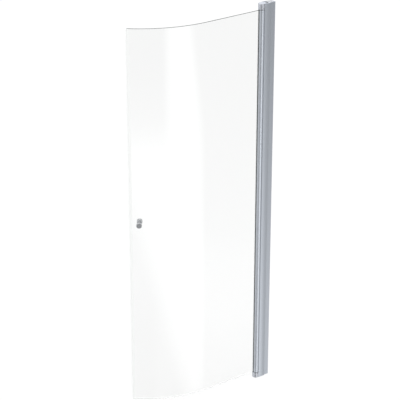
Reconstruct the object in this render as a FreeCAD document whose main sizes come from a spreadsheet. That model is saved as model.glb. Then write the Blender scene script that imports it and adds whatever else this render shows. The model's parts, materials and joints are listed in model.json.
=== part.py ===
import FreeCAD, Part
import math
import os
import re

import Sketcher

# A curved glass shower door leaf hung on a full-height hinge post, closed, in millimetres and degrees.
# The wall is the plane x = 0 and the leaf runs towards -X. Outside is -Y, and the post stands on z = 0.
# Most pieces are drawn about the vertical hinge axis, which stands axis_to_wall in front of the wall.

sizes = {
    # Whole door
    "profile_height": 1960,
    "axis_to_wall": 67.5,
    "barrel_radius": 16.5,
    "cut_overrun": 4,
    # Fits
    "running_gap": 0.5,
    "slide_gap": 0.3,
    "seat_gap": 0.3,
    "thread_gap": 0.1,
    "press_gap": 0.03,
    # Wall profile
    "wall_web": 2.5,
    "wall_leg": 1.8,
    "wall_leg_length": 44,
    "wall_hole_radius": 3,
    "outer_hole_inset": 130,
    "inner_hole_spacing": 560,
    # Plugs that close the wall profile
    "plug_reach": 34.5,
    "plug_height": 12,
    "plug_wall": 2.5,
    # Hinge post
    "post_wall": 2.2,
    "post_reach": 42,
    "lip_setback": 6,
    "flank_crown": 1,
    "post_round": 0.8,
    "trough_web": 2,
    "port_wall": 1.6,
    "seal_angle": 25,
    "seal_depth": 2.2,
    "seal_half_width": 1.5,
    "seal_wall": 2,
    "seal_lip_gap": 0.25,
    # Clamping of the post on the wall profile
    "adjust_travel": 8,
    "lock_setback": 35.5,
    "lock_inset": 200,
    "lock_screw_radius": 2,
    "lock_head_radius": 3.8,
    "lock_head_height": 2.4,
    "lock_socket_radius": 1.5,
    "lock_screw_end": 1.5,
    "nut_width": 7,
    "nut_height": 3.2,
    "nut_gap": 0.15,
    "cover_radius": 5.8,
    "cover_height": 3.8,
    "cover_wall": 0.9,
    "cover_round": 1.2,
    # Bearing caps
    "cap_height": 28,
    "cap_round": 1.2,
    "tongue_half_width": 8,
    "tongue_thickness": 6,
    "cap_screw_radius": 1.75,
    "cap_screw_length": 18,
    "cap_head_radius": 3.2,
    "cap_head_height": 2,
    "cap_socket_radius": 1.3,
    # Pivot
    "pin_radius": 3.5,
    "pin_seat": 20,
    "pin_engagement": 22,
    "pin_chamfer": 0.8,
    "pin_gap": 0.08,
    "set_screw_radius": 2,
    "set_screw_length": 10,
    "set_screw_rise": 6,
    "set_socket_radius": 1.15,
    "socket_depth": 1.6,
    "bush_wall": 1.4,
    "bush_length": 25,
    "bush_flange": 1.5,
    "bush_flange_radius": 11,
    "thrust_washer_height": 1.5,
    "thrust_washer_radius": 12,
    "top_play": 0.6,
    # Barrel
    "barrel_wall": 2.2,
    "bore_wall": 2.4,
    "slot_web": 1.2,
    "chamber_start_angle": 10,
    "chamber_end_angle": 85,
    "gasket_thickness": 2.5,
    "gasket_lip": 0.8,
    "gasket_round": 1,
    # Glass leaf
    "glass_thickness": 6,
    "glass_bottom": 34,
    "glass_edge_gap": 0.5,
    "straight_length": 305,
    "bend_radius": 515,
    "bend_angle": 42.05,
    # Clear seals
    "seal_fit_gap": 0.25,
    "edge_seal_leg": 1,
    "edge_seal_grip": 11,
    "edge_seal_base": 2,
    "edge_seal_bulb_radius": 3,
    "edge_seal_bulb_bore": 1.9,
    "edge_seal_reach": 8,
    "drip_leg": 1,
    "drip_grip": 10,
    "drip_base": 1.5,
    "drip_fin": 1,
    "drip_fin_height": 11,
    # Knobs
    "knob_height": 981.5,
    "knob_inset": 43.5,
    "knob_projection": 27,
    "knob_head_radius": 13.3,
    "knob_neck_radius": 8,
    "knob_neck_length": 10,
    "knob_flare": 3.5,
    "knob_round": 2.2,
    "knob_face_wall": 6,
    "knob_hole_radius": 6,
    "stud_radius": 3,
    "knob_washer_height": 0.9,
    "knob_washer_gap": 0.1,
    "knob_washer_margin": 1,
    "knob_set_rise": 21.5,
    "knob_set_length": 7,
}

# Sizes worked out from those above
worked_out = {
    "wall_half": "barrel_radius - post_wall - slide_gap",
    "plug_half": "wall_half - wall_leg - seat_gap",
    "trough_radius": "barrel_radius + running_gap",
    "trough_back": "trough_radius + trough_web",
    "post_inside": "barrel_radius - post_wall",
    "flank_half": "(post_reach - post_round - lip_setback) / 2",
    "flank_radius": "(flank_half ^ 2 + flank_crown ^ 2) / (2 * flank_crown)",
    "outer_hole_spacing": "profile_height - 2 * outer_hole_inset",
    "port_bore": "cap_screw_radius + thread_gap",
    "port_place": "trough_back + port_bore",
    "port_radius": "port_bore + port_wall",
    "seal_far": "trough_radius + seal_depth",
    "seal_boss_radius": "seal_depth + seal_wall",
    "cap_tail": "trough_radius - seat_gap",
    "cap_shoulder": "lip_setback - seat_gap",
    "tongue_reach": "port_place + port_radius",
    "cap_bore_depth": "cap_head_height + seat_gap",
    "pin_hole": "pin_radius + press_gap",
    "set_screw_start": "pin_radius + press_gap",
    "set_screw_hole": "set_screw_radius + thread_gap",
    "bush_bore": "pin_radius + pin_gap",
    "bush_radius": "bush_bore + bush_wall",
    "barrel_bore": "bush_radius + press_gap",
    "barrel_bottom": "cap_height + thrust_washer_height + bush_flange",
    "barrel_top": "profile_height - cap_height - top_play - bush_flange",
    "barrel_length": "barrel_top - barrel_bottom",
    "chamber_inside": "barrel_bore + bore_wall",
    "chamber_outside": "barrel_radius - barrel_wall",
    "glass_half": "glass_thickness / 2",
    "slot_half": "glass_half + gasket_thickness",
    "slot_floor": "barrel_bore + slot_web",
    "slot_mouth": "sqrt(barrel_radius ^ 2 - slot_half ^ 2)",
    "gasket_front": "barrel_radius + gasket_lip",
    "leaf_start": "gasket_front + seat_gap",
    "edge_seal_half": "glass_half + seal_fit_gap + edge_seal_leg",
    "edge_seal_bottom": "glass_bottom + drip_grip + seat_gap",
    "drip_inside": "glass_half + seal_fit_gap",
    "drip_half": "drip_inside + drip_leg",
    "drip_bottom": "glass_bottom - drip_base",
    "lock_shank": "post_wall + slide_gap + wall_leg + nut_gap + nut_height + lock_screw_end",
    "lock_hole": "lock_screw_radius + thread_gap",
    "nut_face": "wall_half - wall_leg - nut_gap",
    "knob_angle": "bend_angle - knob_inset / bend_radius * 180 / pi",
    "knob_x": "-axis_to_wall - straight_length - bend_radius * sin(knob_angle)",
    "knob_y": "bend_radius - bend_radius * cos(knob_angle)",
    "knob_base": "glass_half + knob_washer_gap + knob_washer_height",
    "knob_face": "glass_half + knob_projection",
    "knob_shoulder": "knob_base + knob_neck_length + knob_flare",
    "knob_socket_end": "knob_face - knob_face_wall",
    "stud_hole": "stud_radius + thread_gap",
    "stud_half_length": "knob_socket_end - seat_gap",
    "edge_x": "-axis_to_wall - straight_length - bend_radius * sin(bend_angle)",
    "edge_y": "bend_radius - bend_radius * cos(bend_angle)",
}

lock_count = 3
socket_side_count = 6
left, right = 1, -1
pieces = {}

doc = FreeCAD.newDocument("shower_door")
sheet = doc.addObject("Spreadsheet::Sheet", "Sizes")
for row, (alias, size) in enumerate(sizes.items(), start=1):
    sheet.set(f"A{row}", alias)
    sheet.set(f"B{row}", str(size))
    sheet.setAlias(f"B{row}", alias)
doc.recompute()


def bound(text):
    # The expression with each size replaced by its cell, and each worked-out size by its own expression
    def swap(match):
        word = match.group()
        if word in sizes:
            return f"Sizes.{word}"
        if word in worked_out:
            return f"({bound(worked_out[word])})"
        return word

    return re.sub(r"[a-z_]+", swap, text)


def value(text):
    return float(sheet.evalExpression(bound(text)))


def place(piece, x="0", y="0", z="0", yaw="0", roll="0"):
    # Yaw turns about the vertical, after roll has turned the piece about X
    spot = {"Base.x": x, "Base.y": y, "Base.z": z, "Rotation.Yaw": yaw, "Rotation.Roll": roll}
    for name, text in spot.items():
        if text != "0":
            piece.setExpression(f"Placement.{name}", bound(text))
    return piece


def keep(label, piece):
    piece.Label = label
    pieces[label] = piece
    return piece


def group(label, members):
    compound = doc.addObject("Part::Compound", label)
    compound.Links = members
    return keep(label, compound)


# Sketches, whose every corner is tied to the sheet


def draw(body, role, rise="0"):
    sketch = body.newObject("Sketcher::SketchObject", "Sketch")
    plane = next(feature for feature in body.Origin.OriginFeatures if feature.Role == role)
    sketch.AttachmentSupport = [(plane, "")]
    sketch.MapMode = "FlatFace"
    if rise != "0":
        sketch.setExpression("AttachmentOffset.Base.z", bound(rise))
    return sketch


def tie(sketch, kind, edge, vertex, text):
    index = sketch.addConstraint(Sketcher.Constraint(kind, -1, 1, edge, vertex, value(text)))
    sketch.setExpression(f"Constraints[{index}]", bound(text))


def outline(sketch, points):
    # A closed outline. A point is (x, y), or (x, y, centre x, centre y, turn) where an arc leaves it.
    corners = [FreeCAD.Vector(value(x), value(y), 0) for x, y, *_ in points]
    edges = []
    for index, (_, _, *arc) in enumerate(points):
        here, there = corners[index], corners[(index + 1) % len(corners)]
        if not arc:
            edges.append((sketch.addGeometry(Part.LineSegment(here, there), False), 1, 2))
            continue
        centre_x, centre_y, turn = arc
        centre = FreeCAD.Vector(value(centre_x), value(centre_y), 0)
        ends = (here, there) if turn == left else (there, here)
        angles = [math.atan2(end.y - centre.y, end.x - centre.x) for end in ends]
        circle = Part.Circle(centre, FreeCAD.Vector(0, 0, 1), (here - centre).Length)
        edge = sketch.addGeometry(Part.ArcOfCircle(circle, *angles), False)
        edges.append((edge, 1, 2) if turn == left else (edge, 2, 1))
        chord = there - here
        if abs(chord.y) > abs(chord.x):
            tie(sketch, "DistanceX", edge, 3, centre_x)
        else:
            tie(sketch, "DistanceY", edge, 3, centre_y)
    for index, (x, y, *_) in enumerate(points):
        edge, first, _ = edges[index]
        before, _, last = edges[index - 1]
        sketch.addConstraint(Sketcher.Constraint("Coincident", before, last, edge, first))
        tie(sketch, "DistanceX", edge, first, x)
        tie(sketch, "DistanceY", edge, first, y)


def ring(sketch, x, y, radius):
    middle = FreeCAD.Vector(value(x), value(y), 0)
    circle = sketch.addGeometry(Part.Circle(middle, FreeCAD.Vector(0, 0, 1), value(radius)), False)
    tie(sketch, "DistanceX", circle, 3, x)
    tie(sketch, "DistanceY", circle, 3, y)
    index = sketch.addConstraint(Sketcher.Constraint("Radius", circle, value(radius)))
    sketch.setExpression(f"Constraints[{index}]", bound(radius))


def rectangle(sketch, x_low, x_high, y_low, y_high):
    outline(sketch, [(x_low, y_low), (x_high, y_low), (x_high, y_high), (x_low, y_high)])


# Features


def new_body(label):
    return keep(label, doc.addObject("PartDesign::Body", label))


def pad(body, sketch, length, backwards=False):
    feature = body.newObject("PartDesign::Pad", "Pad")
    feature.Profile = sketch
    feature.Reversed = backwards
    feature.setExpression("Length", bound(length))
    return feature


def pocket(body, sketch, depth, forwards=False):
    # Cuts against the sketch's normal, or along it where forwards is set
    feature = body.newObject("PartDesign::Pocket", "Pocket")
    feature.Profile = sketch
    feature.Reversed = forwards
    feature.setExpression("Length", bound(depth))
    return feature


def turned(label, points):
    # A body turned about its own Z, from points of (radius, height)
    body = new_body(label)
    sketch = draw(body, "XZ_Plane")
    outline(sketch, points)
    feature = body.newObject("PartDesign::Revolution", "Revolution")
    feature.Profile = sketch
    feature.ReferenceAxis = (sketch, ["V_Axis"])
    return body


def round_edges(body, radius, chosen):
    doc.recompute()
    base = body.Tip
    names = [f"Edge{index}" for index, edge in enumerate(base.Shape.Edges, start=1) if chosen(edge)]
    feature = body.newObject("PartDesign::Fillet", "Fillet")
    feature.Base = (base, names)
    feature.setExpression("Radius", bound(radius))
    return feature


def cylinder(radius, height, z="0"):
    piece = doc.addObject("Part::Cylinder", "Cylinder")
    piece.setExpression("Radius", bound(radius))
    piece.setExpression("Height", bound(height))
    return place(piece, z=z)


def box(length, width, height):
    # Centred on its own axis, standing on z = 0
    piece = doc.addObject("Part::Box", "Box")
    piece.setExpression("Length", bound(length))
    piece.setExpression("Width", bound(width))
    piece.setExpression("Height", bound(height))
    return place(piece, x=f"-({length}) / 2", y=f"-({width}) / 2")


def cut(base, tool):
    result = doc.addObject("Part::Cut", "Cut")
    result.Base = base
    result.Tool = tool
    return result


def fuse(base, tool):
    result = doc.addObject("Part::Fuse", "Fuse")
    result.Base = base
    result.Tool = tool
    return result


def hex_socket(radius, top):
    # A hexagonal recess that opens upwards at top
    socket = doc.addObject("Part::Prism", "Socket")
    socket.Polygon = socket_side_count
    socket.setExpression("Circumradius", bound(radius))
    socket.setExpression("Height", bound("socket_depth + cut_overrun"))
    return place(socket, z=f"({top}) - socket_depth")


def headed_screw(shank_radius, shank_length, head_radius, head_height, socket_radius):
    # The underside of the head is at z = 0, and the shank points down
    shank = cylinder(shank_radius, shank_length, z=f"-({shank_length})")
    head = cylinder(head_radius, head_height)
    return cut(fuse(shank, head), hex_socket(socket_radius, head_height))


def set_screw(length):
    # The tip is at z = 0, and the socket opens upwards
    return cut(cylinder("set_screw_radius", length), hex_socket("set_socket_radius", length))


def lock_level(index):
    return f"lock_inset + {index} / {lock_count - 1} * (profile_height - 2 * lock_inset)"


def leaf_strip(sketch, outside, inside, start):
    # The plan of an even strip along the leaf, between two distances inwards from the middle of the glass:
    # a straight run from start and then the bend
    far = [
        (
            f"-straight_length - (bend_radius - ({offset})) * sin(bend_angle)",
            f"bend_radius - (bend_radius - ({offset})) * cos(bend_angle)",
        )
        for offset in (outside, inside)
    ]
    bend = ("-straight_length", "bend_radius")
    outline(
        sketch,
        [
            (f"-({start})", outside),
            ("-straight_length", outside, *bend, right),
            far[0],
            (*far[1], *bend, left),
            ("-straight_length", inside),
            (f"-({start})", inside),
        ],
    )


# Wall side


def make_wall_profile():
    body = new_body("wall_profile")
    section = draw(body, "XY_Plane")
    inside = "wall_half - wall_leg"
    outline(
        section,
        [
            ("0", "wall_half"),
            ("-wall_leg_length", "wall_half"),
            ("-wall_leg_length", inside),
            ("-wall_web", inside),
            ("-wall_web", f"-({inside})"),
            ("-wall_leg_length", f"-({inside})"),
            ("-wall_leg_length", "-wall_half"),
            ("0", "-wall_half"),
        ],
    )
    pad(body, section, "profile_height")
    holes = draw(body, "YZ_Plane")
    for spacing in ("outer_hole_spacing", "inner_hole_spacing"):
        for side in ("+", "-"):
            ring(holes, "0", f"(profile_height {side} {spacing}) / 2", "wall_hole_radius")
    pocket(body, holes, "wall_web + cut_overrun")
    slots = draw(body, "XZ_Plane")
    near = "lock_setback - axis_to_wall + adjust_travel"
    far = "lock_setback - axis_to_wall - adjust_travel"
    for index in range(lock_count):
        level = lock_level(index)
        outline(
            slots,
            [
                (far, f"{level} + lock_hole"),
                (near, f"{level} + lock_hole", near, level, right),
                (near, f"{level} - lock_hole"),
                (far, f"{level} - lock_hole", far, level, right),
            ],
        )
    pocket(body, slots, "wall_half + cut_overrun")


def make_plug(label, roll, z):
    # A shallow cup between the legs of the wall profile, closed at its own z = 0
    body = new_body(label)
    plan = draw(body, "XY_Plane")
    rectangle(plan, "-plug_reach", "-wall_web - seat_gap", "-plug_half", "plug_half")
    pad(body, plan, "plug_height", backwards=True)
    hollow = draw(body, "XY_Plane", "-plug_wall")
    inside = "plug_half - plug_wall"
    rectangle(hollow, "-plug_reach + plug_wall", "-wall_web - seat_gap - plug_wall", f"-({inside})", inside)
    pocket(body, hollow, "plug_height")
    place(body, z=z, roll=roll)


# Hinge post and its clamping


def radial_strip(sketch, near, far, half):
    # A rectangle that lies along the radius at the angle of the post's seal
    along, across = ("cos(seal_angle)", "sin(seal_angle)")
    outline(
        sketch,
        [
            (
                f"({radius}) * {along} - {side} * ({half}) * {across}",
                f"({radius}) * {across} + {side} * ({half}) * {along}",
            )
            for radius, side in ((near, -1), (far, -1), (far, 1), (near, 1))
        ],
    )


def make_hinge_post():
    body = new_body("hinge_post")
    section = draw(body, "XY_Plane")
    web_end = "sqrt(trough_back ^ 2 - post_inside ^ 2)"
    # The outer flank is a shallow arc. The inner one is flat, because the locking screws sit on it.
    crown = ("lip_setback + flank_half", "flank_radius - flank_crown - barrel_radius")
    tail = "post_reach - post_round"
    outline(
        section,
        [
            ("lip_setback", "barrel_radius"),
            ("lip_setback", "-barrel_radius", *crown, left),
            (tail, "-barrel_radius", tail, "post_round - barrel_radius", left),
            ("post_reach", "post_round - barrel_radius"),
            ("post_reach", "-(post_inside)"),
            (web_end, "-(post_inside)", "0", "0", left),
            (web_end, "post_inside"),
            ("post_reach", "post_inside"),
            ("post_reach", "barrel_radius - post_round", tail, "barrel_radius - post_round", left),
            (tail, "barrel_radius"),
        ],
    )
    pad(body, section, "profile_height")
    port = draw(body, "XY_Plane")
    ring(port, "port_place", "0", "port_radius")
    pad(body, port, "profile_height")
    boss = draw(body, "XY_Plane")
    ring(boss, "trough_radius * cos(seal_angle)", "trough_radius * sin(seal_angle)", "seal_boss_radius")
    pad(body, boss, "profile_height")
    trough = draw(body, "XY_Plane")
    ring(trough, "0", "0", "trough_radius")
    pocket(body, trough, "profile_height", forwards=True)
    bore = draw(body, "XY_Plane")
    ring(bore, "port_place", "0", "port_bore")
    pocket(body, bore, "profile_height", forwards=True)
    groove = draw(body, "XY_Plane")
    radial_strip(groove, "barrel_radius - cut_overrun", "seal_far", "seal_half_width")
    pocket(body, groove, "profile_height", forwards=True)
    for rise, forwards in (("profile_height", False), ("0", True)):
        seat = draw(body, "XY_Plane", rise)
        half = "tongue_half_width + seat_gap"
        rectangle(seat, "0", "tongue_reach + seat_gap", f"-({half})", half)
        pocket(body, seat, "tongue_thickness", forwards=forwards)
    holes = draw(body, "XZ_Plane")
    for index in range(lock_count):
        ring(holes, "lock_setback", lock_level(index), "lock_hole")
    pocket(body, holes, "barrel_radius + cut_overrun")
    place(body, x="-axis_to_wall")


def make_post_seal_strip():
    body = new_body("post_seal_strip")
    section = draw(body, "XY_Plane", "cap_height")
    lip = "barrel_radius + seal_lip_gap"
    radial_strip(section, lip, "seal_far - press_gap", "seal_half_width - press_gap")
    pad(body, section, "profile_height - 2 * cap_height")
    place(body, x="-axis_to_wall")


def make_locking():
    screws, nuts, covers = [], [], []
    for index in range(lock_count):
        spot = {"x": "lock_setback - axis_to_wall", "z": lock_level(index), "roll": "-90"}
        screw = headed_screw(
            "lock_screw_radius", "lock_shank", "lock_head_radius", "lock_head_height", "lock_socket_radius"
        )
        screws.append(place(screw, y="barrel_radius", **spot))
        bore = cylinder("lock_hole", "nut_height + cut_overrun", z="-cut_overrun / 2")
        nut = cut(box("nut_width", "nut_width", "nut_height"), bore)
        nuts.append(place(nut, y="nut_face - nut_height", **spot))
        cover = make_cover(f"locking_screw_cover_{index + 1}")
        covers.append(place(cover, y="barrel_radius", **spot))
    group("locking_screws", screws)
    group("locking_nuts", nuts)
    group("locking_screw_covers", covers)


def make_cover(name):
    # A snap-on cup with a rounded crown
    inside = "cover_radius - cover_wall"
    ceiling = "cover_height - cover_wall"
    crown = ("cover_radius - cover_round", "cover_height - cover_round")
    body = turned(
        name,
        [
            (inside, "0"),
            ("cover_radius", "0"),
            ("cover_radius", crown[1], *crown, left),
            (crown[0], "cover_height"),
            ("0", "cover_height"),
            ("0", ceiling),
            (inside, ceiling),
        ],
    )
    return pieces.pop(body.Label)


# Bearing caps and the pivot


def make_bearing_cap(label, z, roll, set_side):
    # A nose that carries on the barrel's round, and a tail that sits in the post's trough.
    # Its own z = 0 faces the barrel, and the tongue with the screw is at the far end.
    body = new_body(label)
    plan = draw(body, "XY_Plane")
    tail = "sqrt((cap_tail) ^ 2 - (cap_shoulder) ^ 2)"
    outline(
        plan,
        [
            ("cap_shoulder", "barrel_radius"),
            ("0", "barrel_radius", "0", "0", left),
            ("0", "-barrel_radius"),
            ("cap_shoulder", "-barrel_radius"),
            ("cap_shoulder", f"-{tail}", "0", "0", left),
            ("cap_shoulder", tail),
        ],
    )
    pad(body, plan, "cap_height")
    tongue = draw(body, "XY_Plane", "cap_height")
    rectangle(tongue, "0", "tongue_reach", "-tongue_half_width", "tongue_half_width")
    pad(body, tongue, "tongue_thickness", backwards=True)
    round_edges(body, "cap_round", is_nose_rim)
    pin_hole = draw(body, "XY_Plane")
    ring(pin_hole, "0", "0", "pin_hole")
    pocket(body, pin_hole, "pin_seat", forwards=True)
    set_hole = draw(body, "XZ_Plane")
    ring(set_hole, "0", "set_screw_rise", "set_screw_hole")
    pocket(body, set_hole, "barrel_radius + cut_overrun", forwards=set_side == "-")
    screw_hole = draw(body, "XY_Plane", "cap_height")
    ring(screw_hole, "port_place", "0", "port_bore")
    pocket(body, screw_hole, "tongue_thickness + cut_overrun")
    head_seat = draw(body, "XY_Plane", "cap_height")
    ring(head_seat, "port_place", "0", "cap_head_radius + seat_gap")
    pocket(body, head_seat, "cap_bore_depth")
    place(body, x="-axis_to_wall", z=z, roll=roll)


def is_nose_rim(edge):
    # The far rim of the cap's nose: its half circle and the two straight edges beside it
    middle = edge.valueAt((edge.FirstParameter + edge.LastParameter) / 2)
    if not all(math.isclose(vertex.Z, value("cap_height")) for vertex in edge.Vertexes):
        return False
    reach = abs(middle.y) if middle.x > 0 else math.hypot(middle.x, middle.y)
    return math.isclose(reach, value("barrel_radius"))


def make_pin(label, z, roll):
    # Its own z = 0 is at the cap's face, with the seat above and the chamfered end below
    tip = "-pin_engagement"
    body = turned(
        label,
        [
            ("0", tip),
            ("pin_radius - pin_chamfer", tip),
            ("pin_radius", f"{tip} + pin_chamfer"),
            ("pin_radius", "pin_seat"),
            ("0", "pin_seat"),
        ],
    )
    place(body, x="-axis_to_wall", z=z, roll=roll)


def make_bush(label, z, roll):
    # Its own z = 0 is at the end of the barrel, with the flange above
    body = turned(
        label,
        [
            ("bush_bore", "-bush_length"),
            ("bush_radius", "-bush_length"),
            ("bush_radius", "0"),
            ("bush_flange_radius", "0"),
            ("bush_flange_radius", "bush_flange"),
            ("bush_bore", "bush_flange"),
        ],
    )
    place(body, x="-axis_to_wall", z=z, roll=roll)


def make_pivot():
    make_bearing_cap("top_bearing_cap", "profile_height - cap_height", "0", "-")
    make_bearing_cap("bottom_bearing_cap", "cap_height", "180", "+")
    make_pin("top_pivot_pin", "profile_height - cap_height", "0")
    make_pin("bottom_pivot_pin", "cap_height", "180")
    make_bush("top_bush", "barrel_top", "0")
    make_bush("bottom_bush", "barrel_bottom", "180")
    washer = turned(
        "thrust_washer",
        [
            ("pin_radius + seat_gap", "0"),
            ("thrust_washer_radius", "0"),
            ("thrust_washer_radius", "thrust_washer_height"),
            ("pin_radius + seat_gap", "thrust_washer_height"),
        ],
    )
    place(washer, x="-axis_to_wall", z="cap_height")
    cap_screws, set_screws = [], []
    ends = (
        ("profile_height - cap_bore_depth", "profile_height - cap_height + set_screw_rise", "0"),
        ("cap_bore_depth", "cap_height - set_screw_rise", "180"),
    )
    for head_seat, lock_rise, roll in ends:
        screw = headed_screw(
            "cap_screw_radius", "cap_screw_length", "cap_head_radius", "cap_head_height", "cap_socket_radius"
        )
        cap_screws.append(place(screw, x="port_place - axis_to_wall", z=head_seat, roll=roll))
        lock = set_screw("set_screw_length")
        set_screws.append(place(lock, x="-axis_to_wall", y="-set_screw_start", z=lock_rise, roll="90"))
    group("cap_screws", cap_screws)
    group("pin_set_screws", set_screws)


# Door leaf


def chamber(sketch, side):
    # A hollow of the barrel: a piece of a ring between two angles behind the axis, on one side of it
    def spot(radius, angle):
        return (f"{radius} * cos({angle})", f"{side} * {radius} * sin({angle})")

    outline(
        sketch,
        [
            spot("(chamber_inside)", "chamber_start_angle"),
            (*spot("(chamber_outside)", "chamber_start_angle"), "0", "0", side * left),
            spot("(chamber_outside)", "chamber_end_angle"),
            (*spot("(chamber_inside)", "chamber_end_angle"), "0", "0", side * right),
        ],
    )


def make_barrel():
    body = new_body("door_barrel")
    section = draw(body, "XY_Plane", "barrel_bottom")
    outline(
        section,
        [
            ("-slot_mouth", "-slot_half", "0", "0", left),
            ("-slot_mouth", "slot_half"),
            ("-slot_floor", "slot_half"),
            ("-slot_floor", "-slot_half"),
        ],
    )
    ring(section, "0", "0", "barrel_bore")
    for side in (left, right):
        chamber(section, side)
    pad(body, section, "barrel_length")
    place(body, x="-axis_to_wall")


def make_gasket(label, side):
    body = new_body(label)
    section = draw(body, "XY_Plane", "barrel_bottom")
    lip = ("gasket_round - gasket_front", f"{side} * (slot_half - gasket_round)")
    outline(
        section,
        [
            ("-slot_floor", f"{side} * glass_half"),
            ("-slot_floor", f"{side} * slot_half"),
            (lip[0], f"{side} * slot_half", *lip, side * left),
            ("-gasket_front", lip[1]),
            ("-gasket_front", f"{side} * glass_half"),
        ],
    )
    pad(body, section, "barrel_length")
    place(body, x="-axis_to_wall")


def make_glass():
    body = new_body("glass_panel")
    plan = draw(body, "XY_Plane", "glass_bottom")
    leaf_strip(plan, "-(glass_half)", "glass_half", "slot_floor + glass_edge_gap")
    pad(body, plan, "barrel_top - glass_bottom")
    # The knob's hole, drawn on a plane that stands across the glass at the knob
    hole = draw(body, "XZ_Plane")
    hole.AttachmentOffset = FreeCAD.Placement(
        FreeCAD.Vector(), FreeCAD.Rotation(FreeCAD.Vector(0, 1, 0), -value("knob_angle"))
    )
    reach = "(bend_radius + glass_thickness)"
    offsets = {
        "Base.x": f"-straight_length - {reach} * sin(knob_angle)",
        "Base.y": "knob_height",
        "Base.z": f"{reach} * cos(knob_angle) - bend_radius",
        "Rotation.Angle": "-(knob_angle)",
    }
    for name, text in offsets.items():
        hole.setExpression(f"AttachmentOffset.{name}", bound(text))
    ring(hole, "0", "0", "knob_hole_radius")
    pocket(body, hole, "2 * glass_thickness")
    place(body, x="-axis_to_wall")


def make_free_edge_seal():
    # Drawn at the edge of the glass, which lies towards its own +X
    body = new_body("free_edge_seal")
    section = draw(body, "XY_Plane", "edge_seal_bottom")
    grip = "edge_seal_half - edge_seal_leg"
    bulb = ("edge_seal_bulb_radius - edge_seal_reach", "0")
    outline(
        section,
        [
            ("edge_seal_grip", "-(edge_seal_half)"),
            ("edge_seal_grip", f"-({grip})"),
            ("0", f"-({grip})"),
            ("0", grip),
            ("edge_seal_grip", grip),
            ("edge_seal_grip", "edge_seal_half"),
            ("-edge_seal_base", "edge_seal_half"),
            ("-edge_seal_base", "edge_seal_bulb_radius"),
            (bulb[0], "edge_seal_bulb_radius", *bulb, left),
            (bulb[0], "-edge_seal_bulb_radius"),
            ("-edge_seal_base", "-edge_seal_bulb_radius"),
            ("-edge_seal_base", "-(edge_seal_half)"),
        ],
    )
    ring(section, *bulb, "edge_seal_bulb_bore")
    pad(body, section, "barrel_top - edge_seal_bottom")
    place(body, x="edge_x", y="edge_y", yaw="-bend_angle")


def make_bottom_seal():
    body = new_body("bottom_seal")
    channel = draw(body, "XY_Plane", "drip_bottom")
    leaf_strip(channel, "-(drip_half)", "drip_half", "leaf_start")
    pad(body, channel, "drip_base + drip_grip")
    fins = ("-(drip_half)", "drip_fin - drip_half"), ("drip_half - drip_fin", "drip_half")
    for outside, inside in fins:
        fin = draw(body, "XY_Plane", "drip_bottom")
        leaf_strip(fin, outside, inside, "leaf_start")
        pad(body, fin, "drip_fin_height", backwards=True)
    slot = draw(body, "XY_Plane", "glass_bottom")
    leaf_strip(slot, "-(drip_inside)", "drip_inside", "leaf_start")
    pocket(body, slot, "drip_grip", forwards=True)
    place(body, x="-axis_to_wall")


# Knobs, turned about an axis square to the glass, with z = 0 at the middle of the glass


def at_knob(piece, roll):
    return place(piece, x="knob_x", y="knob_y", z="knob_height", yaw="-(knob_angle)", roll=roll)


def make_knob(label):
    rim = ("knob_head_radius - knob_round", "knob_face - knob_round")
    return turned(
        label,
        [
            ("stud_hole", "knob_base"),
            ("knob_neck_radius", "knob_base"),
            ("knob_neck_radius", "knob_base + knob_neck_length"),
            ("knob_head_radius", "knob_shoulder"),
            ("knob_head_radius", rim[1], *rim, left),
            (rim[0], "knob_face"),
            ("0", "knob_face"),
            ("0", "knob_socket_end"),
            ("stud_hole", "knob_socket_end"),
        ],
    )


def make_knobs():
    outward, inward = "90", "-90"
    at_knob(make_knob("outer_knob"), outward)
    inner = make_knob("inner_knob")
    # The set screw's hole points down, across the stud
    set_hole = draw(inner, "XZ_Plane")
    ring(set_hole, "0", "knob_set_rise", "set_screw_hole")
    pocket(inner, set_hole, "knob_head_radius + cut_overrun")
    at_knob(inner, inward)
    lock = place(set_screw("knob_set_length"), y="stud_radius + press_gap", z="knob_set_rise", roll="-90")
    at_knob(group("knob_set_screw", [lock]), inward)
    stud = cylinder("stud_radius", "2 * stud_half_length", z="-(stud_half_length)")
    at_knob(group("knob_stud", [stud]), outward)
    sleeve = turned(
        "knob_sleeve",
        [
            ("stud_hole", "-(glass_half)"),
            ("knob_hole_radius - seat_gap", "-(glass_half)"),
            ("knob_hole_radius - seat_gap", "glass_half"),
            ("stud_hole", "glass_half"),
        ],
    )
    at_knob(sleeve, outward)
    washers = []
    for index, roll in enumerate((outward, inward), start=1):
        edge = "knob_neck_radius + knob_washer_margin"
        washer = turned(
            f"knob_washer_{index}",
            [
                ("stud_hole", "glass_half + knob_washer_gap"),
                (edge, "glass_half + knob_washer_gap"),
                (edge, "knob_base"),
                ("stud_hole", "knob_base"),
            ],
        )
        washers.append(at_knob(pieces.pop(washer.Label), roll))
    group("knob_washers", washers)


make_wall_profile()
make_plug("wall_profile_top_plug", "0", "profile_height")
make_plug("wall_profile_bottom_plug", "180", "0")
make_hinge_post()
make_post_seal_strip()
make_locking()
make_pivot()
make_barrel()
make_gasket("outer_glass_gasket", right)
make_gasket("inner_glass_gasket", left)
make_glass()
make_free_edge_seal()
make_bottom_seal()
make_knobs()
doc.recompute()

for item in doc.Objects:
    if {"Invalid", "Error"} & set(item.State):
        raise RuntimeError(f"{item.Label} failed: {item.State}")
for label, piece in pieces.items():
    if piece.Shape.isNull() or not piece.Shape.isValid():
        raise RuntimeError(f"{label} has no valid shape")

os.makedirs("parts", exist_ok=True)
for label, piece in pieces.items():
    piece.Shape.exportStep(f"parts/{label}.step")
    print(f"{label}: {len(piece.Shape.Solids)} solid(s), {piece.Shape.Volume / 1000:.2f} cm3")
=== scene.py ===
import json
import math

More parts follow.
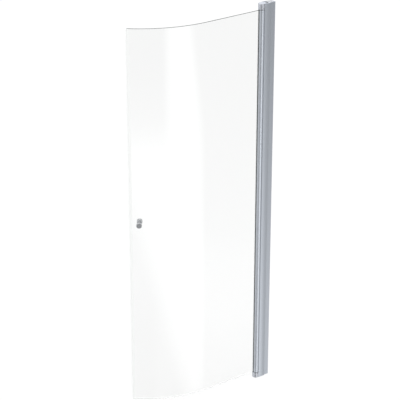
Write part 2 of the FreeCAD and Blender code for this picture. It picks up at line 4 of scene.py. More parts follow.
import bmesh
import bpy
import numpy as np
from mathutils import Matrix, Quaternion, Vector
from mathutils.geometry import tessellate_polygon


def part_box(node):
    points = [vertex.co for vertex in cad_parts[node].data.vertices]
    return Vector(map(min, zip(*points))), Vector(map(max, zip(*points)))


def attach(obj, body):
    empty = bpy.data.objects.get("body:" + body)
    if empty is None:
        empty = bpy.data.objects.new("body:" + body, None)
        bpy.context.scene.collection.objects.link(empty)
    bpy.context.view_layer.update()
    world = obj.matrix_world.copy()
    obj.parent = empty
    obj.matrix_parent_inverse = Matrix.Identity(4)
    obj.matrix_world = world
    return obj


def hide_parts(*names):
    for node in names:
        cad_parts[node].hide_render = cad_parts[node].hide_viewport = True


# A curved glass shower door on its hinge post, closed, in a plain studio. Metres, +Z up, the wall at
# x = 0, the outside towards -Y.

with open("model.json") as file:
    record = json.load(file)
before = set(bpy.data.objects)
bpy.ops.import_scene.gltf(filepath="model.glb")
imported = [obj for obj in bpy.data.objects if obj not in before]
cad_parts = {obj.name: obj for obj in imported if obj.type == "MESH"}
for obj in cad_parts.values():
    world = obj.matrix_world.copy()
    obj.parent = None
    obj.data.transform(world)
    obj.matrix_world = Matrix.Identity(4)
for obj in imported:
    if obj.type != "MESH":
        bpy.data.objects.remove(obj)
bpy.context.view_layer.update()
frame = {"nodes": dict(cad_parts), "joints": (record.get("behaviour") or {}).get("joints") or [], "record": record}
hingeAxis = next(joint["pos_m"] for joint in frame["joints"] if joint["name"] == "door_swing")
print("frame:", len(frame["nodes"]), "nodes")

# The leaf's plan: straight from the hinge axis, then bent to a radius

leaf = {"straight": 0.305, "radius": 0.515, "glassThickness": 0.006}
glassLow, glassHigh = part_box("glass_panel")
outerRadius = leaf["radius"] + leaf["glassThickness"] / 2
leafBend = math.asin((hingeAxis[0] - leaf["straight"] - glassLow.x) / outerRadius)
leafStart = hingeAxis[0] - glassHigh.x
leafEnd = leaf["straight"] + leaf["radius"] * leafBend
sleeveLow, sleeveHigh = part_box("knob_sleeve")
knobCentre = (sleeveLow + sleeveHigh) / 2
knobAngle = math.atan2(hingeAxis[0] - leaf["straight"] - knobCentre.x, leaf["radius"] - knobCentre.y)
knobDistance = leaf["straight"] + leaf["radius"] * knobAngle
print("leaf: bend", round(math.degrees(leafBend), 2), "degrees, length", round(leafEnd, 4))


# Shader helpers

def addNode(tree, kind, **settings):
    node = tree.nodes.new(kind)
    for name, setting in settings.items():
        setattr(node, name, setting)
    return node


def feed(tree, socket, source):
    # A source is another node's output, which is linked, or a plain number or colour, which is set
    if isinstance(source, bpy.types.NodeSocket):
        tree.links.new(source, socket)
    else:
        socket.default_value = source


def mathNode(tree, operation, first, second=0.0):
    node = addNode(tree, "ShaderNodeMath", operation=operation)
    feed(tree, node.inputs[0], first)
    feed(tree, node.inputs[1], second)
    return node.outputs[0]


def ease(tree, value, start, stop, low=0.0, high=1.0):
    # A smooth step from low at start to high at stop
    node = addNode(tree, "ShaderNodeMapRange", interpolation_type="SMOOTHSTEP")
    for socket, source in zip(node.inputs, (value, start, stop, low, high)):
        feed(tree, socket, source)
    return node.outputs[0]


def spread(tree, value, low, high):
    # A straight line that takes 0 to low and 1 to high
    node = addNode(tree, "ShaderNodeMapRange")
    for socket, source in zip(node.inputs, (value, 0.0, 1.0, low, high)):
        feed(tree, socket, source)
    return node.outputs[0]


def tones(tree, value, first, second):
    # A mix of two colours, first at 0 and second at 1
    node = addNode(tree, "ShaderNodeMix", data_type="RGBA")
    feed(tree, node.inputs["Factor"], value)
    feed(tree, node.inputs["A"], (*first, 1.0))
    feed(tree, node.inputs["B"], (*second, 1.0))
    return node.outputs["Result"]


def relief(tree, height, depth):
    # A bump in which heights 0 and 1 lie depth apart
    node = addNode(tree, "ShaderNodeBump")
    node.inputs["Strength"].default_value = 1.0
    node.inputs["Distance"].default_value = depth
    feed(tree, node.inputs["Height"], height)
    return node.outputs["Normal"]


def newGroup(name, inputs, outputs):
    group = bpy.data.node_groups.new(name, "ShaderNodeTree")
    for socket, kind in inputs.items():
        group.interface.new_socket(socket, in_out="INPUT", socket_type=kind)
    for socket in outputs:
        group.interface.new_socket(socket, in_out="OUTPUT", socket_type="NodeSocketFloat")
    return group, group.nodes.new("NodeGroupInput"), group.nodes.new("NodeGroupOutput")


def dieLinesGroup():
    # Noise with its places multiplied by Across in x and y and by Along in z, so that it draws out into
    # lines along z. Streaks is the same, but coarser across.
    finenessShares = {"Lines": 1.0, "Streaks": 0.25}
    detail = 3.0
    group, given, result = newGroup(
        "dieLines",
        {"Vector": "NodeSocketVector", "Across": "NodeSocketFloat", "Along": "NodeSocketFloat"},
        finenessShares,
    )
    for name, share in finenessShares.items():
        across = mathNode(group, "MULTIPLY", given.outputs["Across"], share)
        stretch = addNode(group, "ShaderNodeCombineXYZ")
        feed(group, stretch.inputs["X"], across)
        feed(group, stretch.inputs["Y"], across)
        feed(group, stretch.inputs["Z"], given.outputs["Along"])
        place = addNode(group, "ShaderNodeVectorMath", operation="MULTIPLY")
        feed(group, place.inputs[0], given.outputs["Vector"])
        feed(group, place.inputs[1], stretch.outputs["Vector"])
        noise = addNode(group, "ShaderNodeTexNoise")
        noise.inputs["Scale"].default_value = 1.0
        noise.inputs["Detail"].default_value = detail
        feed(group, noise.inputs["Vector"], place.outputs["Vector"])
        feed(group, result.inputs[name], noise.outputs["Fac"])
    return group


def fineGrainGroup():
    # Grain is noise at Scale, as of a moulded or cast skin. Clouds is far coarser noise, for uneven tone.
    noises = {"Grain": {"share": 1.0, "detail": 2.0}, "Clouds": {"share": 0.025, "detail": 4.0}}
    group, given, result = newGroup(
        "fineGrain", {"Vector": "NodeSocketVector", "Scale": "NodeSocketFloat"}, noises
    )
    for name, setting in noises.items():
        noise = addNode(group, "ShaderNodeTexNoise")
        noise.inputs["Detail"].default_value = setting["detail"]
        feed(group, noise.inputs["Vector"], given.outputs["Vector"])
        scale = mathNode(group, "MULTIPLY", given.outputs["Scale"], setting["share"])
        feed(group, noise.inputs["Scale"], scale)
        feed(group, result.inputs[name], noise.outputs["Fac"])
    return group


dieLines = dieLinesGroup()
fineGrain = fineGrainGroup()


def newMaterial(name, sockets):
    # A Principled surface with its constant sockets set, and the object coordinates for its patterns
    material = bpy.data.materials.new(name)
    material.use_nodes = True
    tree = material.node_tree
    tree.nodes.clear()
    output = addNode(tree, "ShaderNodeOutputMaterial")
    shader = addNode(tree, "ShaderNodeBsdfPrincipled")
    tree.links.new(shader.outputs["BSDF"], output.inputs["Surface"])
    for socket, setting in sockets.items():
        shader.inputs[socket].default_value = setting
    return material, tree, shader, addNode(tree, "ShaderNodeTexCoord").outputs["Object"]


def useGroup(tree, group, **inputs):
    node = addNode(tree, "ShaderNodeGroup", node_tree=group)
    for name, source in inputs.items():
        feed(tree, node.inputs[name], source)
    return node.outputs


def drawnFinish(name, constants, roughness, across, along, depth, dark=None, light=None):
    # The skin of an extrusion: gloss in long streaks, fine lines in relief and, where two colours are
    # given, tone in streaks between them
    material, tree, shader, place = newMaterial(name, constants)
    lines = useGroup(tree, dieLines, Vector=place, Across=across, Along=along)
    if dark and light:
        feed(tree, shader.inputs["Base Color"], tones(tree, lines["Streaks"], dark, light))
    feed(tree, shader.inputs["Roughness"], spread(tree, lines["Streaks"], *roughness))
    feed(tree, shader.inputs["Normal"], relief(tree, lines["Lines"], depth))
    return material


def grainedFinish(name, constants, dark, light, roughness, scale, depth):
    # An even skin: cloudy tone between two colours, and a fine grain in relief
    material, tree, shader, place = newMaterial(name, constants)
    grain = useGroup(tree, fineGrain, Vector=place, Scale=scale)
    feed(tree, shader.inputs["Base Color"], tones(tree, grain["Clouds"], dark, light))
    feed(tree, shader.inputs["Roughness"], spread(tree, grain["Clouds"], *roughness))
    feed(tree, shader.inputs["Normal"], relief(tree, grain["Grain"], depth))
    return material


# Finishes

def anodisedAluminium():
    look = {
        "dark": (0.675, 0.715, 0.775),
        "light": (0.725, 0.765, 0.825),
        "roughness": (0.27, 0.36),
        "across": 2600.0,
        "along": 1.2,
        "depth": 0.000006,
    }
    constants = {"Metallic": 1.0, "Specular Tint": (0.8, 0.82, 0.86, 1.0)}
    return drawnFinish("anodisedAluminium", constants, **look)


def silverCap():
    look = {
        "dark": (0.64, 0.66, 0.71),
        "light": (0.69, 0.71, 0.76),
        "roughness": (0.30, 0.38),
        "scale": 1600.0,
        "depth": 0.000012,
    }
    constants = {"Metallic": 1.0, "Specular Tint": (0.75, 0.77, 0.8, 1.0)}
    return grainedFinish("silverCap", constants, **look)


def knobMetal():
    # Turned metal, with rings about the knobs' axis
    look = {
        "dark": (0.52, 0.53, 0.545),
        "light": (0.60, 0.61, 0.625),
        "roughness": (0.22, 0.32),
        "ringScale": 300.0,  # about 950 rings to the metre
        "ringDistortion": 0.4,
        "ringDetail": 2.0,
        "depth": 0.000008,
    }
    material, tree, shader, place = newMaterial("knobMetal", {"Metallic": 1.0})
    turn = addNode(tree, "ShaderNodeMapping", vector_type="TEXTURE")
    turn.inputs["Location"].default_value = knobCentre
    turn.inputs["Rotation"].default_value = (math.pi / 2, 0.0, -knobAngle)
    feed(tree, turn.inputs["Vector"], place)
    wave = addNode(tree, "ShaderNodeTexWave", wave_type="RINGS", rings_direction="Z")
    wave.inputs["Scale"].default_value = look["ringScale"]
    wave.inputs["Distortion"].default_value = look["ringDistortion"]
    wave.inputs["Detail"].default_value = look["ringDetail"]
    feed(tree, wave.inputs["Vector"], turn.outputs["Vector"])
    rings = wave.outputs["Fac"]
    feed(tree, shader.inputs["Base Color"], tones(tree, rings, look["dark"], look["light"]))
    feed(tree, shader.inputs["Roughness"], spread(tree, rings, *look["roughness"]))
    feed(tree, shader.inputs["Normal"], relief(tree, rings, look["depth"]))
    return material


def stainlessSteel():
    look = {
        "dark": (0.54, 0.54, 0.55),
        "light": (0.62, 0.62, 0.63),
        "roughness": (0.2, 0.32),
        "scale": 3000.0,
        "depth": 0.000004,
    }
    return grainedFinish("stainlessSteel", {"Metallic": 1.0}, **look)


def blackSteel():
    look = {
        "dark": (0.05, 0.05, 0.055),
        "light": (0.08, 0.08, 0.085),
        "roughness": (0.35, 0.5),
        "scale": 3000.0,
        "depth": 0.000006,
    }
    return grainedFinish("blackSteel", {"Metallic": 0.6}, **look)


def greyPlastic():
    look = {
        "dark": (0.52, 0.53, 0.55),
        "light": (0.58, 0.59, 0.61),
        "roughness": (0.42, 0.55),
        "scale": 2400.0,
        "depth": 0.00002,
    }
    return grainedFinish("greyPlastic", {}, **look)


def whiteBearing():
    look = {
        "dark": (0.80, 0.80, 0.77),
        "light": (0.87, 0.87, 0.84),
        "roughness": (0.4, 0.5),
        "scale": 1800.0,
        "depth": 0.00001,
    }
    return grainedFinish("whiteBearing", {}, **look)


def darkRubber():
    look = {
        "dark": (0.17, 0.18, 0.19),
        "light": (0.20, 0.21, 0.22),
        "roughness": (0.55, 0.7),
        "across": 3000.0,
        "along": 3.0,
        "depth": 0.00002,
    }
    return drawnFinish("darkRubber", {}, **look)


def clearSeal(name, tint, coat):
    # Clear soft plastic, which hardly bends the light
    look = {"roughness": (0.12, 0.24), "across": 1500.0, "along": 2.0, "depth": 0.000006}
    constants = {
        "Base Color": (*tint, 1.0),
        "Transmission Weight": 1.0,
        "IOR": 1.02,
        "Coat Weight": coat,
        "Coat Roughness": 0.15,
    }
    return drawnFinish(name, constants, **look)


def clearGlass():
    # Clear float glass with the faint rolling of toughened and bent sheet
    look = {"rollScale": 6.0, "rollDetail": 0.0, "rollDepth": 0.00001}
    constants = {
        "Base Color": (0.966, 0.969, 0.965, 1.0),
        "Roughness": 0.0,
        "Transmission Weight": 1.0,
        "IOR": 1.52,
        "Coat Weight": 1.0,
        "Coat Roughness": 0.0,
    }
    material, tree, shader, place = newMaterial("clearGlass", constants)
    roll = addNode(tree, "ShaderNodeTexNoise")
    roll.inputs["Scale"].default_value = look["rollScale"]
    roll.inputs["Detail"].default_value = look["rollDetail"]
    feed(tree, roll.inputs["Vector"], place)
    feed(tree, shader.inputs["Normal"], relief(tree, roll.outputs["Fac"], look["rollDepth"]))
    return material


def groundEdge():
    # The bare top edge of the glass, ground, where the depth of the sheet shows grey-green
    look = {
        "dark": (0.085, 0.096, 0.092),
        "light": (0.11, 0.122, 0.118),
        "roughness": (0.3, 0.45),
        "scale": 900.0,
        "depth": 0.000008,
    }
    return grainedFinish("groundEdge", {"Transmission Weight": 0.2, "IOR": 1.5}, **look)


def sealedEdge():
    # The edges in the barrel, in the closing seal and round the knob's sleeve, much paler
    look = {
        "dark": (0.68, 0.72, 0.70),
        "light": (0.74, 0.78, 0.76),
        "roughness": (0.4, 0.5),
        "scale": 900.0,
        "depth": 0.000008,
    }
    return grainedFinish("sealedEdge", {"Specular IOR Level": 0.15}, **look)


def dressFrame():
    # Every carried-over node takes the finish of its slot in the record
    finishes = {
        "anodised_aluminium": anodisedAluminium(),
        "silver_cap": silverCap(),
        "knob_metal": knobMetal(),
        "stainless_steel": stainlessSteel(),
        "black_steel": blackSteel(),
        "clear_seal": clearSeal("clearSeal", tint=(0.972, 0.976, 0.973), coat=0.25),
        "dark_rubber": darkRubber(),
        "grey_plastic": greyPlastic(),
        "white_bearing": whiteBearing(),
        "clear_glass": clearGlass(),
    }
    for part in frame["record"]["subparts"]:
        mesh = frame["nodes"][part["node"]].data
        mesh.materials.clear()
        mesh.materials.append(finishes[part["material_slot"]])
    frame["nodes"]["knob_washers"].visible_shadow = False
    print("finishes:", len(finishes))
    return finishes


# Surfaces

def leafPoint(distance, inward, height):
    # Along the straight run the point lies inward of it by y. Past it, the angle is the distance that is
    # left over the radius, and the point lies at the radius less inward from the centre of the bend.
    distance, inward, height = np.broadcast_arrays(distance, inward, height)
    angle = np.maximum(distance - leaf["straight"], 0.0) / leaf["radius"]
    reach = leaf["radius"] - inward
    x = hingeAxis[0] - np.minimum(distance, leaf["straight"]) - reach * np.sin(angle)
    y = leaf["radius"] - reach * np.cos(angle)
    return np.stack([x, y, height], axis=-1)


def putMesh(name, points, faces, materials, materialOfFace, sharpAngle):
    # Faces is a list of arrays of corners. Points that no face uses are left out, and faces turn
    # outwards.
    used, corners = np.unique(np.concatenate([face.ravel() for face in faces]), return_inverse=True)
    ends = np.cumsum([face.size for face in faces])
    rows = [part.reshape(face.shape) for part, face in zip(np.split(corners, ends[:-1]), faces)]
    mesh = bpy.data.meshes.new(name)
    mesh.from_pydata(points[used].tolist(), [], [corner for row in rows for corner in row.tolist()])
    for material in materials:
        mesh.materials.append(material)
    mesh.polygons.foreach_set("material_index", np.concatenate(materialOfFace).astype(np.int32))
    shell = bmesh.new()
    shell.from_mesh(mesh)
    bmesh.ops.recalc_face_normals(shell, faces=shell.faces)
    shell.to_mesh(mesh)
    shell.free()
    mesh.shade_smooth()
    mesh.set_sharp_from_angle(angle=sharpAngle)
    piece = bpy.data.objects.new(name, mesh)
    bpy.context.scene.collection.objects.link(piece)
    return piece


def joinRings(rings):
    # Quads between each row of point numbers and the next, all the way round
    near, far = rings[:-1], rings[1:]
    return np.stack([near, np.roll(near, -1, 1), np.roll(far, -1, 1), far], axis=-1).reshape(-1, 4)


def linesWithPatch(low, high, middle, half, arris, step, patchCells):
    # Grid lines from low to high: one at each end, one an arris inside each end, lines about step apart
    # between those, and patchCells even cells over the patch that reaches half to either side of the
    # middle. With them come the numbers of the patch's first and last line.
    before = np.linspace(low + arris, middle - half, round((middle - half - low) / step) + 1)
    patch = np.linspace(middle - half, middle + half, patchCells + 1)[1:-1]
    after = np.linspace(middle + half, high - arris, round((high - middle - half) / step) + 1)
    lines = np.concatenate([[low], before, patch, after, [high]])
    return lines, len(before), len(before) + patchCells


def makeGlass(clear):
    glass = {
        "arris": 0.0008,
        "holeRadius": 0.006,
        "patchHalf": 0.016,
        "patchCells": 10,
        "patchRings": 5,
        "stepAlong": 0.008,
        "stepUp": 0.05,
        "sharpAngle": math.radians(25),
    }
    half = leaf["glassThickness"] / 2
    arris = glass["arris"]
    patch = (glass["patchHalf"], arris)
    along, firstA, lastA = linesWithPatch(
        leafStart, leafEnd, knobDistance, *patch, glass["stepAlong"], glass["patchCells"]
    )
    up, firstU, lastU = linesWithPatch(
        glassLow.z, glassHigh.z, knobCentre.z, *patch, glass["stepUp"], glass["patchCells"]
    )
    # One face of the sheet: a grid of distance and height with a square left out about the knob. The
    # hinge end and the top are bevelled by the arris. The foot and the free end stay square.
    number = np.arange(len(along) * len(up)).reshape(len(along), len(up))
    distance, height = np.meshgrid(along, up, indexing="ij")
    depth = np.full(number.shape, half)
    depth[0, :] = half - arris
    depth[:, -1] = half - arris
    cells = np.stack([number[:-1, :-1], number[1:, :-1], number[1:, 1:], number[:-1, 1:]], axis=-1)
    kept = np.ones(cells.shape[:2], bool)
    kept[firstA:lastA, firstU:lastU] = False
    finishes = [clear, groundEdge(), sealedEdge()]
    finish = {"sheet": 0, "ground": 1, "sealed": 2}
    finishOfCell = np.full(cells.shape[:2], finish["sheet"])
    finishOfCell[0, 1:] = finish["sealed"]  # the hinge end, above the foot
    finishOfCell[:, -1] = finish["ground"]  # the top
    # The square is filled by rings that turn from the hole's circle into the square, by shares from 0
    # to 1. The innermost ring is the hole's bevel.
    square = np.concatenate(
        [
            number[firstA:lastA, firstU],
            number[lastA, firstU:lastU],
            number[lastA:firstA:-1, lastU],
            number[firstA, lastU:firstU:-1],
        ]
    )
    offA = distance.ravel()[square] - knobDistance
    offU = height.ravel()[square] - knobCentre.z
    length = np.hypot(offA, offU)
    share = np.linspace(0.0, 1.0, glass["patchRings"] + 1)[:-1, None]
    flat = glass["holeRadius"] + arris
    hole = np.full((1, len(square)), glass["holeRadius"])
    radius = np.vstack([hole, flat + share * (length - flat)])
    ringNumber = number.size + np.arange(radius.size).reshape(radius.shape)
    ringDepth = np.full(radius.shape, half)
    ringDepth[0] = half - arris
    distance = np.concatenate([distance.ravel(), (knobDistance + radius * offA / length).ravel()])
    height = np.concatenate([height.ravel(), (knobCentre.z + radius * offU / length).ravel()])
    depth = np.concatenate([depth.ravel(), ringDepth.ravel()])
    ringCells = joinRings(np.vstack([ringNumber, square]))
    face = np.vstack([cells[kept], ringCells])
    finishOfFace = np.concatenate([finishOfCell[kept], np.full(len(ringCells), finish["sheet"])])
    # The other face is the same, and walls close the outline and the hole
    points = np.vstack([leafPoint(distance, -depth, height), leafPoint(distance, depth, height)])
    other = len(distance)
    rim = np.concatenate([number[:-1, 0], number[-1, :-1], number[:0:-1, -1], number[0, :0:-1]])
    walls = np.vstack([joinRings(np.vstack([ring, ring + other])) for ring in (rim, ringNumber[0])])
    faces = [face, face + other, walls]
    highest = points[walls][..., 2].min(axis=1) > glassHigh.z - arris
    lowest = points[walls][..., 2].max(axis=1) < glassLow.z + arris
    elsewhere = np.where(lowest, finish["sheet"], finish["sealed"])
    finishOfWall = np.where(highest, finish["ground"], elsewhere)
    materialOfFace = [finishOfFace, finishOfFace, finishOfWall]
    piece = putMesh("bentGlass", points, faces, finishes, materialOfFace, glass["sharpAngle"])
    piece.visible_shadow = False
    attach(piece, "door_leaf")
    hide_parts("glass_panel")
    print("glass:", len(piece.data.polygons), "faces")


def roundLoop(corners, radius, steps):
    # Each corner becomes an arc: its centre lies on the bisector at radius over the sine of half the
    # corner, and the arc turns evenly from one tangent point to the other
    corner = np.asarray(corners, float)
    toLast = np.roll(corner, 1, 0) - corner
    toNext = np.roll(corner, -1, 0) - corner
    toLast /= np.linalg.norm(toLast, axis=1, keepdims=True)
    toNext /= np.linalg.norm(toNext, axis=1, keepdims=True)
    half = np.arccos(np.clip((toLast * toNext).sum(1), -1, 1))[:, None] / 2
    bisector = toLast + toNext
    bisector /= np.linalg.norm(bisector, axis=1, keepdims=True)
    centre = corner + bisector * radius / np.sin(half)
    first = corner + toLast * radius / np.tan(half) - centre
    last = corner + toNext * radius / np.tan(half) - centre
    turn = math.pi - 2 * half
    share = np.linspace(0, 1, steps + 1)[None, :, None]
    turn, first, last, centre = (part[:, None, :] for part in (turn, first, last, centre))
    arc = (np.sin((1 - share) * turn) * first + np.sin(share * turn) * last) / np.sin(turn)
    return (centre + arc).reshape(-1, 2)


def sweepLoops(name, loops, stations, placed, material, sharpAngle):
    # Carries flat loops along stations: placed gives the point of a loop's (u, v) at a station. The
    # first loop is the outline and the others are hollows, and both ends are closed.
    flat = np.vstack(loops)
    points = placed(flat[None, :, 0], flat[None, :, 1], stations[:, None]).reshape(-1, 3)
    number = np.arange(len(points)).reshape(len(stations), len(flat))
    starts = np.cumsum([0] + [len(loop) for loop in loops])
    sides = np.vstack([joinRings(number[:, a:b]) for a, b in zip(starts[:-1], starts[1:])])
    lid = np.array(tessellate_polygon([[Vector((u, v, 0)) for u, v in loop] for loop in loops]))
    faces = [sides, number[0][lid], number[-1][lid]]
    materialOfFace = [np.zeros(len(face)) for face in faces]
    return putMesh(name, points, faces, [material], materialOfFace, sharpAngle)


def makeSeals(closingFinish):
    sealWall = {
        "leg": 0.001,
        "fitGap": 0.00025,
        "floorGap": 0.0002,
        "tipRound": 0.0004,
        "roundSteps": 4,
        "sharpAngle": math.radians(50),
    }
    inside = leaf["glassThickness"] / 2 + sealWall["fitGap"]
    outside = inside + sealWall["leg"]
    # Drip seal under the glass: a channel that grips the glass, with two fins below it
    drip = {
        "base": 0.0015,
        "fin": 0.0009,
        "finFlare": 0.0012,
        "step": 0.01,
        "tint": (0.99, 0.992, 0.99),
        "coat": 0.05,
    }
    low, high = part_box("bottom_seal")
    bed = glassLow.z - drip["base"]
    finTip = outside + drip["finFlare"]
    halfPlan = [
        (inside, glassLow.z - sealWall["floorGap"]),
        (inside, high.z),
        (outside, high.z),
        (outside, bed),
        (finTip, low.z),
        (finTip - drip["fin"], low.z),
        (outside - drip["fin"], bed),
    ]
    plan = halfPlan + [(-u, v) for u, v in reversed(halfPlan)]
    loop = roundLoop(plan, sealWall["tipRound"], sealWall["roundSteps"])
    start = hingeAxis[0] - high.x
    bottom = sweepLoops(
        "dripSeal",
        [loop],
        np.linspace(start, leafEnd, round((leafEnd - start) / drip["step"])),
        lambda u, v, s: leafPoint(s, u, v),
        clearSeal("clearDripSeal", drip["tint"], drip["coat"]),
        sealWall["sharpAngle"],
    )
    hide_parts("bottom_seal")
    # Closing seal on the free edge: a channel round the glass with a hollow bulb in front of it
    edge = {
        "grip": 0.011,
        "base": 0.002,
        "bulb": 0.003,
        "bore": 0.0019,
        "reach": 0.008,
        "around": 40,
        "levels": 24,
    }
    low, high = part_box("free_edge_seal")
    halfChannel = [
        (-sealWall["floorGap"], inside),
        (edge["grip"], inside),
        (edge["grip"], outside),
        (-edge["base"], outside),
        (-edge["base"], edge["bulb"]),
    ]
    neck = -edge["base"] - edge["bulb"]
    bulbEnds = [(neck, edge["bulb"]), (neck, -edge["bulb"])]
    channel = roundLoop(
        halfChannel + bulbEnds + [(u, -v) for u, v in reversed(halfChannel)],
        sealWall["tipRound"],
        sealWall["roundSteps"],
    )
    # Half a circle takes the place of the two rounded corners at the bulb's ends
    bulbAt = edge["bulb"] - edge["reach"]
    around = np.linspace(math.pi / 2, 3 * math.pi / 2, edge["around"] // 2 + 1)
    bulb = np.stack([bulbAt + edge["bulb"] * np.cos(around), edge["bulb"] * np.sin(around)], axis=-1)
    pointsPerCorner = sealWall["roundSteps"] + 1
    before = len(halfChannel) * pointsPerCorner
    after = before + len(bulbEnds) * pointsPerCorner
    outline = np.vstack([channel[:before], bulb, channel[after:]])
    turn = np.linspace(0, 2 * math.pi, edge["around"], endpoint=False)
    bore = np.stack([bulbAt + edge["bore"] * np.cos(turn), edge["bore"] * np.sin(turn)], axis=-1)
    free = sweepLoops(
        "closingSeal",
        [outline, bore],
        np.linspace(low.z, high.z, edge["levels"]),
        lambda u, v, s: leafPoint(leafEnd - u, v, s),
        closingFinish,
        sealWall["sharpAngle"],
    )
    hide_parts("free_edge_seal")
    for piece in (bottom, free):
        piece.visible_shadow = False
        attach(piece, "door_leaf")
    print("seals:", len(bottom.data.polygons) + len(free.data.polygons), "faces")


# Studio: white all round for the eye, and soft panels of light for the gloss to mirror

def makeStudio():
    studio = {"eyeLevel": 1.0, "fillLevel": 1.08, "ambient": 0.31, "tint": (0.985, 0.992, 1.0, 1.0)}
    # Panels, in degrees. Azimuth and elevation give first, last and the softness outside them. Rise gives
    # the elevations where a panel starts and is full, and foot the same for the tilted elevation.
    panels = {
        "leftFlag": {"level": -0.35, "azimuth": (-58, -16, 10), "elevation": (-19.5, -10, 3)},
        "lowFlag": {"level": -0.2, "azimuth": (-58, -30, 12), "rise": (-26.5, -29.5)},
        "leftFill": {"level": 0.15, "azimuth": (-110, -12, 12)},
        "farLeftFill": {"level": 0.25, "azimuth": (-120, -60, 10)},
        "sideFill": {"level": 0.1, "azimuth": (46, 110, 8)},
        "leftPanel": {
            "level": 0.85,
            "azimuth": (-70, -17, 17),
            "rise": (-21.5, -23.5),
            "foot": (-31.8, -27.8),
        },
        "rightPatch": {"level": 0.15, "azimuth": (28, 40, 5), "elevation": (-28.2, -26.8, 1.5)},
        "rightFill": {"level": 0.48, "azimuth": (30, 40, 7), "rise": (-18, -31)},
        "ceiling": {"level": 0.45, "rise": (0, 40)},
        "rightBackStrip": {"level": 0.7, "azimuth": (120, 160, 12), "rise": (10, -5)},
        "topWindow": {"level": 0.95, "azimuth": (136, 152, 8), "elevation": (15, 34, 8)},
        "leftBackStrip": {"level": 0.7, "azimuth": (-160, -130, 12)},
    }
    # The strip in front fades in over left and out over right. Its right side moves left by leanBy over
    # the elevations of lean, and it has a dark band between below and foot.
    frontStrip = {
        "level": 0.95,
        "left": (-17, 0),
        "right": (21, 35),
        "lean": (-23, -17.5),
        "leanBy": 13,
        "foot": (-32.3, -28.3),
        "below": (-35.5, -33),
    }
    tilt = 0.107  # how much the tilted elevation gains with azimuth
    world = bpy.data.worlds.new("studio")
    bpy.context.scene.world = world
    world.use_nodes = True
    world.cycles.sampling_method = "NONE"
    tree = world.node_tree
    tree.nodes.clear()
    # Azimuth turns from the front, -Y, towards +X. Elevation is above the horizon.
    direction = addNode(tree, "ShaderNodeSeparateXYZ")
    feed(tree, direction.inputs[0], addNode(tree, "ShaderNodeTexCoord").outputs["Generated"])
    front = mathNode(tree, "MULTIPLY", direction.outputs["Y"], -1.0)
    azimuth = mathNode(tree, "ARCTAN2", direction.outputs["X"], front)
    elevation = mathNode(tree, "ARCSINE", direction.outputs["Z"])
    tilted = mathNode(tree, "ADD", elevation, mathNode(tree, "MULTIPLY", azimuth, tilt))

    def step(value, start, stop, low=0.0, high=1.0):
        # A smooth step from low at start to high at stop, both in degrees
        return ease(tree, value, math.radians(start), math.radians(stop), low, high)

    def between(value, first, last, soft):
        # A smooth hump: 1 between first and last, and 0 from soft outside them, in degrees
        rise = step(value, first - soft, first)
        fall = step(value, last, last + soft, 1.0, 0.0)
        return mathNode(tree, "MULTIPLY", rise, fall)

    def lit(level, masks):
        value = level
        for mask in masks:
            value = mathNode(tree, "MULTIPLY", mask, value)
        return value

    lean = step(elevation, *frontStrip["lean"], 0.0, math.radians(frontStrip["leanBy"]))
    leaning = mathNode(tree, "ADD", azimuth, lean)
    stripHeight = mathNode(
        tree, "ADD", step(tilted, *frontStrip["foot"]), step(tilted, *frontStrip["below"], 1.0, 0.0)
    )
    stripMasks = [
        step(azimuth, *frontStrip["left"]),
        step(leaning, *frontStrip["right"], 1.0, 0.0),
        stripHeight,
    ]
    lights = [lit(frontStrip["level"], stripMasks)]
    measures = {
        "azimuth": (between, azimuth),
        "elevation": (between, elevation),
        "rise": (step, elevation),
        "foot": (step, tilted),
    }
    for panel in panels.values():
        masks = [shape(value, *panel[key]) for key, (shape, value) in measures.items() if key in panel]
        lights.append(lit(panel["level"], masks))
    total = studio["ambient"]
    for light in lights:
        total = mathNode(tree, "ADD", light, total)
    # Gloss sees the panels, the eye sees white, straight or through the glass, and the rest is even fill
    path = addNode(tree, "ShaderNodeLightPath")
    seen = mathNode(tree, "MAXIMUM", path.outputs["Is Camera Ray"], path.outputs["Is Transmission Ray"])
    unseen = mathNode(tree, "SUBTRACT", 1.0, seen)
    gloss = mathNode(tree, "MULTIPLY", path.outputs["Is Glossy Ray"], unseen)
    level = addNode(tree, "ShaderNodeMix")
    feed(tree, level.inputs["Factor"], gloss)
    feed(tree, level.inputs["A"], studio["fillLevel"])
    feed(tree, level.inputs["B"], total)
    strength = addNode(tree, "ShaderNodeMix")
    feed(tree, strength.inputs["Factor"], seen)
    feed(tree, strength.inputs["A"], level.outputs["Result"])
    feed(tree, strength.inputs["B"], studio["eyeLevel"])
    background = addNode(tree, "ShaderNodeBackground")
    feed(tree, background.inputs["Strength"], strength.outputs["Result"])
    feed(tree, background.inputs["Color"], studio["tint"])
    output = addNode(tree, "ShaderNodeOutputWorld")
    feed(tree, output.inputs["Surface"], background.outputs["Background"])
    print("studio:", len(lights), "panels")


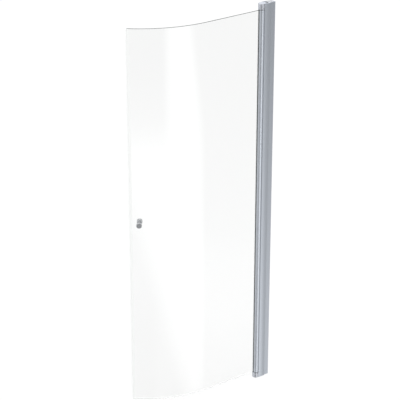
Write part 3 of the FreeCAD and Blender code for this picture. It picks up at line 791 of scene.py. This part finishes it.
def makeFloor():
    paleFloor = {"half": 40.0, "white": (0.14, 0.14, 0.14, 1.0), "glow": 0.88}
    half = paleFloor["half"]
    corners = [(-half, -half, 0), (half, -half, 0), (half, half, 0), (-half, half, 0)]
    mesh = bpy.data.meshes.new("studioFloor")
    mesh.from_pydata(corners, [], [(0, 1, 2, 3)])
    constants = {
        "Base Color": paleFloor["white"],
        "Roughness": 1.0,
        "Specular IOR Level": 0.0,
        "Emission Color": (1.0, 1.0, 1.0, 1.0),
        "Emission Strength": paleFloor["glow"],
    }
    mesh.materials.append(newMaterial("studioFloor", constants)[0])
    floor = bpy.data.objects.new("studioFloor", mesh)
    bpy.context.scene.collection.objects.link(floor)
    floor.visible_glossy = False
    print("floor:", 2 * half, "m wide")


def makeSoftbox():
    # It lights what is matt, and is not seen itself
    softbox = {
        "place": (-2.6, -3.4, 4.2),
        "target": (-0.3, 0.0, 1.0),
        "width": 2.0,
        "height": 2.0,
        "power": 40.0,
    }
    light = bpy.data.lights.new("keySoftbox", "AREA")
    light.shape = "RECTANGLE"
    light.size = softbox["width"]
    light.size_y = softbox["height"]
    light.energy = softbox["power"]
    lamp = bpy.data.objects.new("keySoftbox", light)
    lamp.location = softbox["place"]
    aim = Vector(softbox["target"]) - Vector(softbox["place"])
    lamp.rotation_euler = aim.to_track_quat("-Z", "Y").to_euler()
    lamp.visible_camera = False
    lamp.visible_glossy = False
    lamp.visible_transmission = False
    bpy.context.scene.collection.objects.link(lamp)
    print("softbox:", softbox["power"], "W")


def makeCamera():
    view = {
        "place": (-4.4626, -5.6357, 4.2370),
        "direction": (0.53084, 0.73872, -0.41542),
        "roll": 0.0008,
        "lens": 147.3,
        "sensor": 36.0,
    }
    camera = bpy.data.cameras.new("camera")
    camera.lens = view["lens"]
    camera.sensor_width = view["sensor"]
    eye = bpy.data.objects.new("camera", camera)
    eye.location = view["place"]
    eye.rotation_mode = "QUATERNION"
    level = Vector(view["direction"]).to_track_quat("-Z", "Y")
    eye.rotation_quaternion = level @ Quaternion((0.0, 0.0, 1.0), view["roll"])
    bpy.context.scene.collection.objects.link(eye)
    bpy.context.scene.camera = eye
    bpy.context.scene.view_settings.view_transform = "Standard"
    print("camera: lens", view["lens"])


finishes = dressFrame()
makeGlass(finishes["clear_glass"])
makeSeals(finishes["clear_seal"])
makeStudio()
makeFloor()
makeSoftbox()
makeCamera()
